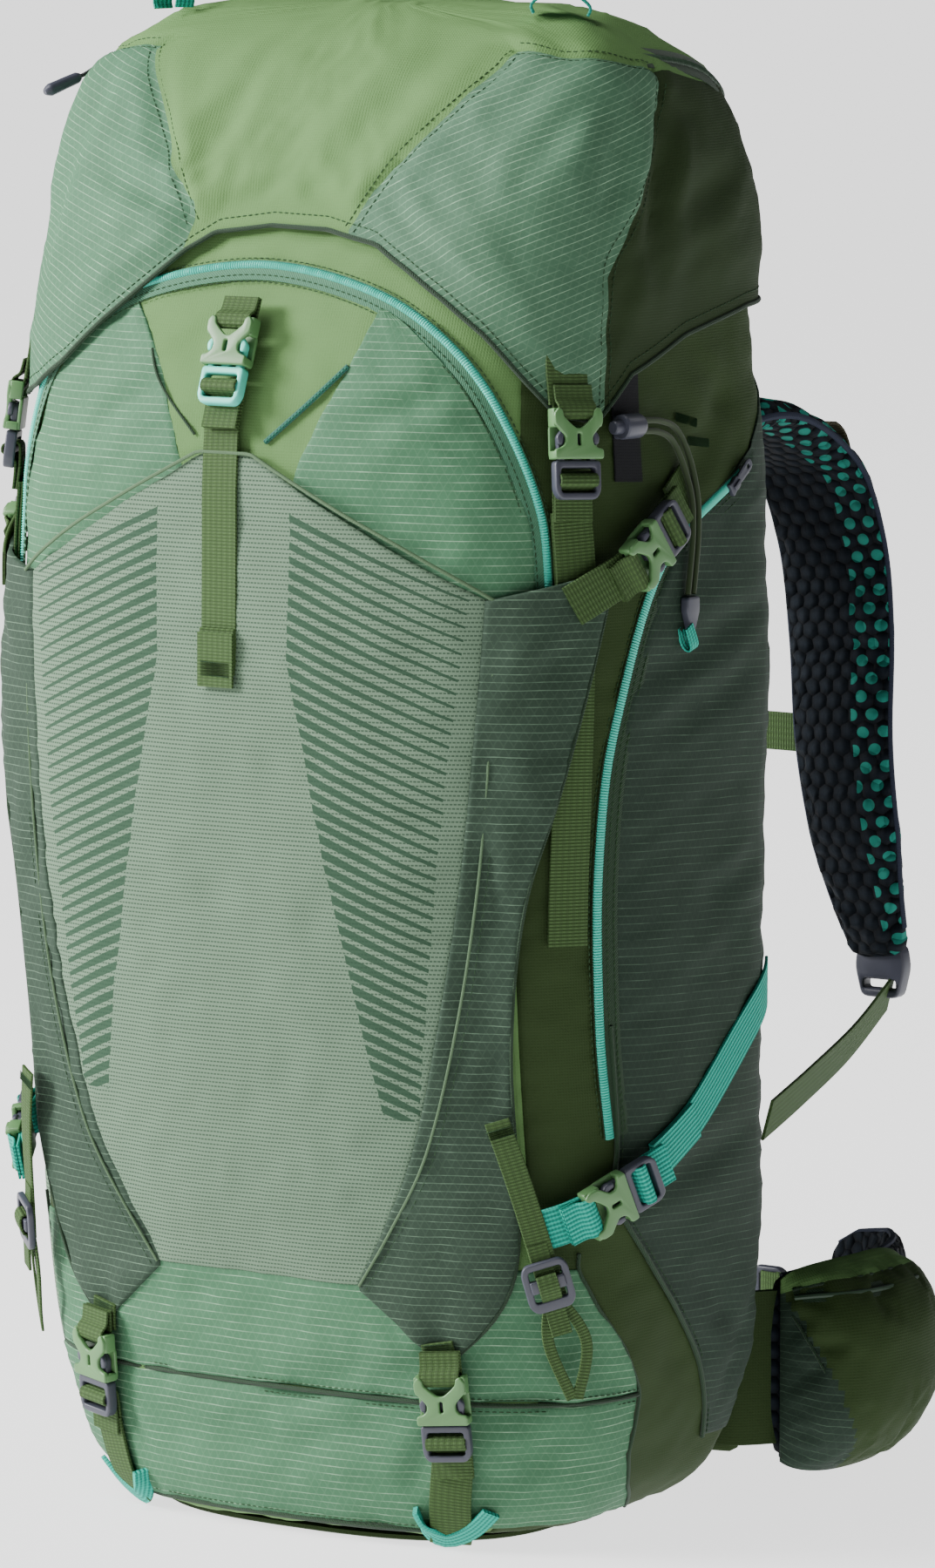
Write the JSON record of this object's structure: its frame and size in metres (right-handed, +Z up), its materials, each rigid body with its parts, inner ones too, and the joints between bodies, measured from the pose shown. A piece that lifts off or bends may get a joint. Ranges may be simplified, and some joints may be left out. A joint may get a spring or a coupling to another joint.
{
  "type": "hiking backpack",
  "caption": "Framed hiking backpack with a hinged lid, stretch front pocket, sliding release buckles, padded shoulder harness and a swinging hip belt.",
  "frame": {"origin": "centre of the base panel, on the face that the pack stands on", "axes": "+Z up, the pocket side faces -Y, the shoulder harness faces +Y, +X is the pack's right seen from the pocket side"},
  "size_m": [0.3792, 0.462, 0.7517],
  "materials": {
    "ripstop": "matte ripstop cloth",
    "plain_fabric": "matte plain cloth",
    "lining": "thin coated cloth",
    "stretch_weave": "matte stretch weave",
    "navy_mesh": "spacer mesh",
    "black_fabric": "matte",
    "olive_webbing": "woven webbing",
    "teal_trim": "woven tape",
    "dark_tape": "coated zip tape",
    "olive_cord": "braided cord",
    "black_cord": "braided cord",
    "green_plastic": "moulded acetal",
    "charcoal_plastic": "moulded acetal",
    "teal_plastic": "moulded acetal",
    "hard_plastic": "sheet",
    "alloy": "anodised"
  },
  "bodies": {
    "root": {"frame_rod": "alloy", "frame_sheet": "hard_plastic", "back_panel": "plain_fabric", "back_pad": "navy_mesh", "lumbar_pad": "navy_mesh", "front_panel": "ripstop", "side_panel_right": "ripstop", "side_panel_left": "ripstop", "base_panel": "plain_fabric", "collar": "lining", "collar_drawcord": "black_cord", "collar_cord_lock": "charcoal_plastic", "stretch_pocket": "stretch_weave", "pocket_wing_right": "ripstop", "pocket_wing_left": "ripstop", "bottle_pocket": "stretch_weave", "front_zip": "teal_trim", "side_zip": "teal_trim", "olive_webbings": "olive_webbing", "teal_webbings": "teal_trim", "ladder_locks": "charcoal_plastic", "strap_buckle_females": "green_plastic", "haul_loop": "olive_webbing", "side_cord_patch": "black_fabric", "side_cord": "olive_cord", "side_cord_tip": "charcoal_plastic", "side_cord_lock": "charcoal_plastic", "lower_harness_webbings": "olive_webbing", "hip_belt_root": "plain_fabric"},
    "lid": {"lid_cover": "ripstop", "lid_floor": "lining", "lid_zip": "dark_tape", "lash_loops": "teal_trim", "lid_webbings": "olive_webbing", "lid_buckle_females": "green_plastic"},
    "harness": {"yoke": "navy_mesh", "shoulder_strap_right": "navy_mesh", "shoulder_strap_left": "navy_mesh", "load_lifters": "olive_webbing"},
    "sternum": {"sternum_strap": "olive_webbing"},
    "hip_wing_right": {"hip_wing_right": "navy_mesh", "hip_pocket_right": "plain_fabric"},
    "hip_wing_left": {"hip_wing_left": "navy_mesh", "hip_pocket_left": "plain_fabric", "belt_strap_left": "olive_webbing"},
    "belt_strap_right": {"belt_strap_right": "olive_webbing"},
    "lid_zip_slider": {"lid_zip_slider": "charcoal_plastic"},
    "front_zip_slider": {"front_zip_slider": "charcoal_plastic"},
    "side_zip_slider": {"side_zip_slider": "charcoal_plastic"},
    "pocket_buckle_male": {"pocket_buckle_male": "teal_plastic"},
    "side_cord_button": {"side_cord_button": "charcoal_plastic"},
    "sternum_buckle_male": {"sternum_buckle_male": "charcoal_plastic"},
    "lid_buckle_male_right": {"lid_buckle_male_right": "charcoal_plastic"},
    "lid_buckle_male_left": {"lid_buckle_male_left": "charcoal_plastic"},
    "upper_buckle_male_right": {"upper_buckle_male_right": "charcoal_plastic"},
    "upper_buckle_male_left": {"upper_buckle_male_left": "charcoal_plastic"},
    "lower_buckle_male_right": {"lower_buckle_male_right": "charcoal_plastic"},
    "lower_buckle_male_left": {"lower_buckle_male_left": "charcoal_plastic"},
    "base_buckle_male_right": {"base_buckle_male_right": "charcoal_plastic"},
    "base_buckle_male_left": {"base_buckle_male_left": "charcoal_plastic"}
  },
  "joints": [
    {"name": "lid_hinge", "type": "hinge", "parent": "root", "child": "lid", "pos_m": [0, 0.124, 0.598], "axis": [-1, 0, 0], "range_deg": [0, 80]},
    {"name": "harness_height", "type": "slide", "parent": "root", "child": "harness", "axis": [0, 0, 1], "range_m": [0, 0.02]},
    {"name": "sternum_height", "type": "slide", "parent": "harness", "child": "sternum", "axis": [0, 0, 1], "range_m": [0, 0.02]},
    {"name": "sternum_buckle_release", "type": "slide", "parent": "sternum", "child": "sternum_buckle_male", "axis": [1, 0, 0], "range_m": [0, 0.02]},
    {"name": "hip_wing_right_swing", "type": "hinge", "parent": "root", "child": "hip_wing_right", "pos_m": [0.132, 0.142, 0.058], "axis": [0, 0, -1], "range_deg": [0, 35]},
    {"name": "hip_wing_left_swing", "type": "hinge", "parent": "root", "child": "hip_wing_left", "pos_m": [-0.132, 0.142, 0.058], "axis": [0, 0, 1], "range_deg": [0, 35]},
    {"name": "belt_buckle_fasten", "type": "slide", "parent": "hip_wing_right", "child": "belt_strap_right", "axis": [-1, 0, 0], "range_m": [0, 0.018]},
    {"name": "pocket_buckle_release", "type": "slide", "parent": "root", "child": "pocket_buckle_male", "axis": [0.0002, -0.3488, -0.9372], "range_m": [0, 0.02]},
    {"name": "lid_buckle_release_right", "type": "slide", "parent": "root", "child": "lid_buckle_male_right", "axis": [0.0921, -0.0919, -0.9915], "range_m": [0, 0.02]},
    {"name": "lid_buckle_release_left", "type": "slide", "parent": "root", "child": "lid_buckle_male_left", "axis": [-0.0921, -0.0919, -0.9915], "range_m": [0, 0.02]},
    {"name": "upper_buckle_release_right", "type": "slide", "parent": "root", "child": "upper_buckle_male_right", "axis": [0.0928, 0.8221, 0.5618], "range_m": [0, 0.02]},
    {"name": "upper_buckle_release_left", "type": "slide", "parent": "root", "child": "upper_buckle_male_left", "axis": [-0.0928, 0.8221, 0.5618], "range_m": [0, 0.02]},
    {"name": "lower_buckle_release_right", "type": "slide", "parent": "root", "child": "lower_buckle_male_right", "axis": [0.3966, 0.8222, 0.4083], "range_m": [0, 0.02]},
    {"name": "lower_buckle_release_left", "type": "slide", "parent": "root", "child": "lower_buckle_male_left", "axis": [-0.3966, 0.8222, 0.4083], "range_m": [0, 0.02]},
    {"name": "base_buckle_release_right", "type": "slide", "parent": "root", "child": "base_buckle_male_right", "axis": [0.0329, 0.1312, -0.9908], "range_m": [0, 0.015]},
    {"name": "base_buckle_release_left", "type": "slide", "parent": "root", "child": "base_buckle_male_left", "axis": [-0.0329, 0.1312, -0.9908], "range_m": [0, 0.015]},
    {"name": "front_zip_run", "type": "slide", "parent": "root", "child": "front_zip_slider", "axis": [-0.0182, 0.0305, 0.9994], "range_m": [0, 0.02]},
    {"name": "side_zip_run", "type": "slide", "parent": "root", "child": "side_zip_slider", "axis": [0.0386, -0.895, -0.4443], "range_m": [0, 0.025]},
    {"name": "lid_zip_run", "type": "slide", "parent": "lid", "child": "lid_zip_slider", "axis": [-0.0622, 0.9868, -0.1498], "range_m": [0, 0.04]},
    {"name": "side_cord_button_press", "type": "slide", "parent": "root", "child": "side_cord_button", "axis": [0.1878, 0.9822, 0.0091], "range_m": [0, 0.003], "stiffness_N_per_m": 400, "springref_m": -0.002}
  ]
}
